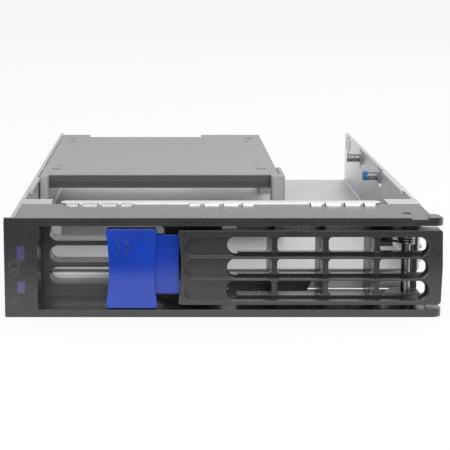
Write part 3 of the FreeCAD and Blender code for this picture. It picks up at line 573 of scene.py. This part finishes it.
def make_panel_marks(material):
    """A disk stack and a small sun printed on the panel, as outlines.

    The outlines are ellipses, middle + (wide * cos(t), tall * sin(t)), and straight runs.
    """
    low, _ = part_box("bezel")
    y = low[1] + ICON_SINK
    steps = 48
    t = np.linspace(0, 2 * math.pi, steps, endpoint=False)
    middle_x = low[0] + ICON_X
    wide, tall = DISK_HALF
    face = on_face(middle_x + wide * np.cos(t), DISK_Z + tall * np.sin(t), y)
    half = np.linspace(math.pi, 0, steps // 2)
    cap = on_face(middle_x + wide * np.cos(half), DISK_TOP_Z + tall * np.sin(half), y)
    sides = np.concatenate([[(middle_x - wide, y, DISK_Z)], cap, [(middle_x + wide, y, DISK_Z)]])
    grids = [ridge(face, ICON_WIDTH, ICON_HEIGHT, closed=True), ridge(sides, ICON_WIDTH, ICON_HEIGHT)]
    build("panel_disk_mark", grids, material, "carrier")

    ring = on_face(middle_x + SUN_RADIUS * np.cos(t), SUN_Z + SUN_RADIUS * np.sin(t), y)
    centre = np.array([middle_x, y, SUN_Z])
    grids = [ridge(ring, ICON_WIDTH, ICON_HEIGHT, closed=True)]
    rays = 8
    for turn in np.arange(rays) * math.pi / (rays / 2):
        way = np.array([math.cos(turn), 0, math.sin(turn)])
        ray = line([centre + way * reach for reach in SUN_RAY], 4)
        grids.append(ridge(ray, ICON_WIDTH, ICON_HEIGHT))
    build("panel_sun_mark", grids, material, "carrier")


# Frame finishes

def finish(material, *names):
    """Puts the material on every slot of those CAD nodes."""
    for name in names:
        piece = nodes[name]
        for slot in piece.material_slots:
            slot.material = material


def dress_frame():
    wire_steel = turned_steel("drawn_spring_wire", WIRE, rough=0.26)
    plated = rolled_steel("zinc_plated_sheet", ZINC, ZINC_CLOUD,
                          rough=0.52, cloud_size=14 * MM, line_depth=0.0005 * MM)
    bright = rolled_steel("bright_rolled_stainless", STAINLESS, STAINLESS_CLOUD,
                          rough=0.28, cloud_size=8 * MM, line_depth=0.0004 * MM)
    finish(black_abs(), "bezel", "lever")
    finish(blue_abs(), "latch")
    finish(grey_adapter(), "drive_adapter")
    finish(plated, "tray")
    finish(bright, "shield_strip")
    finish(turned_steel("ground_pin_steel", PIN_STEEL, rough=0.28), "hinge_pin")
    finish(violet_pipe(), "light_pipe_lower", "light_pipe_upper")
    make_screws()
    make_latch_spring(wire_steel)
    make_lever_spring(wire_steel)
    make_latch_arrow_shade(shaded_blue_abs())
    make_panel_marks(printed_grey())


# Studio

def make_floor():
    """White table: the camera sees it near white, and gloss sees it end a little way ahead."""
    bpy.ops.mesh.primitive_plane_add(size=TABLE_SIZE)
    floor = bpy.context.object
    floor.name = "floor"
    material, tree, shader = new_material("white_table")
    shader.inputs["Base Color"].default_value = hex_colour(FLOOR_WHITE)
    shader.inputs["Roughness"].default_value = TABLE_ROUGH
    bezel_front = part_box("bezel")[0][1]
    table_edge = bezel_front - TABLE_AHEAD
    split = add(tree, "ShaderNodeSeparateXYZ", {0: place(tree)}).outputs
    near = ramp(tree, split[1], table_edge - TABLE_BLEND, table_edge + TABLE_BLEND, TABLE_DARK, TABLE_GLOSS)
    path = add(tree, "ShaderNodeLightPath").outputs
    white = add(tree, "ShaderNodeEmission", {"Color": hex_colour(WHITE), "Strength": 1.0}).outputs[0]
    mirrored = add(tree, "ShaderNodeEmission", {"Color": hex_colour(WHITE), "Strength": near}).outputs[0]
    share = add(tree, "ShaderNodeMath", {0: path["Is Camera Ray"], 1: TABLE_GLOW},
                operation="MULTIPLY").outputs[0]
    seen = add(tree, "ShaderNodeMixShader", {0: share, 1: shader.outputs[0], 2: white}).outputs[0]
    gloss = add(tree, "ShaderNodeMath", {0: path["Is Glossy Ray"], 1: path["Is Transmission Ray"]},
                operation="MAXIMUM").outputs[0]
    both = add(tree, "ShaderNodeMixShader", {0: gloss, 1: seen, 2: mirrored}).outputs[0]
    tree.links.new(both, tree.nodes["Material Output"].inputs["Surface"])
    floor.data.materials.append(material)


def make_world():
    """White all round for the camera. For light and gloss it is dimmer behind it and overhead."""
    world = bpy.data.worlds.new("studio")
    bpy.context.scene.world = world
    world.use_nodes = True
    tree = world.node_tree
    background = tree.nodes["Background"]
    way = add(tree, "ShaderNodeTexCoord").outputs["Generated"]
    split = add(tree, "ShaderNodeSeparateXYZ", {0: way}).outputs
    dim, bright, ceiling = 0.20, 0.95, 0.5
    dim_at, bright_at = -0.7, 0.15      # as the direction's Y
    level_at, ceiling_at = 0.35, 0.9    # as the direction's Z
    behind = ramp(tree, split[1], dim_at, bright_at, dim, bright)
    overhead = ramp(tree, split[2], level_at, ceiling_at, 1.0, ceiling)
    room = add(tree, "ShaderNodeMath", {0: behind, 1: overhead}, operation="MULTIPLY").outputs[0]
    camera = add(tree, "ShaderNodeLightPath").outputs["Is Camera Ray"]
    strength = add(tree, "ShaderNodeMath", {0: room, 1: camera}, operation="MAXIMUM").outputs[0]
    tree.links.new(strength, background.inputs["Strength"])
    background.inputs["Color"].default_value = hex_colour(WHITE)


def make_lamp(name, place_at, target, size, power):
    """Rectangular softbox: size in metres, power in watts."""
    data = bpy.data.lights.new(name, "AREA")
    data.shape = "RECTANGLE"
    data.size, data.size_y = size
    data.energy = power
    lamp = bpy.data.objects.new(name, data)
    bpy.context.scene.collection.objects.link(lamp)
    aim(lamp, place_at, target)


def aim(thing, place_at, target):
    """Sets a lamp in its place, its own -Z towards the target and its own Y as far up as it goes."""
    thing.location = place_at
    thing.rotation_euler = (Vector(target) - Vector(place_at)).to_track_quat("-Z", "Y").to_euler()


def make_camera():
    """A long lens from the front, a little above and left of the middle, tilted down."""
    tilt = 10.15
    data = bpy.data.cameras.new("camera")
    data.sensor_width = 36.0
    data.lens = 119.2
    data.shift_x = 0.1258
    camera = bpy.data.objects.new("camera", data)
    bpy.context.scene.collection.objects.link(camera)
    camera.location = (-13.55 * MM, -446.85 * MM, 86.7 * MM)
    camera.rotation_euler = (math.radians(90 - tilt), 0, 0)
    bpy.context.scene.camera = camera


def make_studio():
    make_floor()
    make_world()
    at_bezel, at_tray = (0, 0, 0.01), (0, 0.02, 0)
    make_lamp("front_softbox_high", (0.05, -0.60, 0.70), at_bezel, size=(0.6, 0.4), power=4.0)
    make_lamp("front_softbox_low", (0.05, -0.85, 0.28), at_bezel, size=(0.6, 0.4), power=4.0)
    make_lamp("rear_softbox", (0.35, 0.65, 0.75), at_tray, size=(0.7, 0.5), power=2.0)
    make_camera()
    bpy.context.scene.view_settings.view_transform = "Standard"


dress_frame()
make_studio()
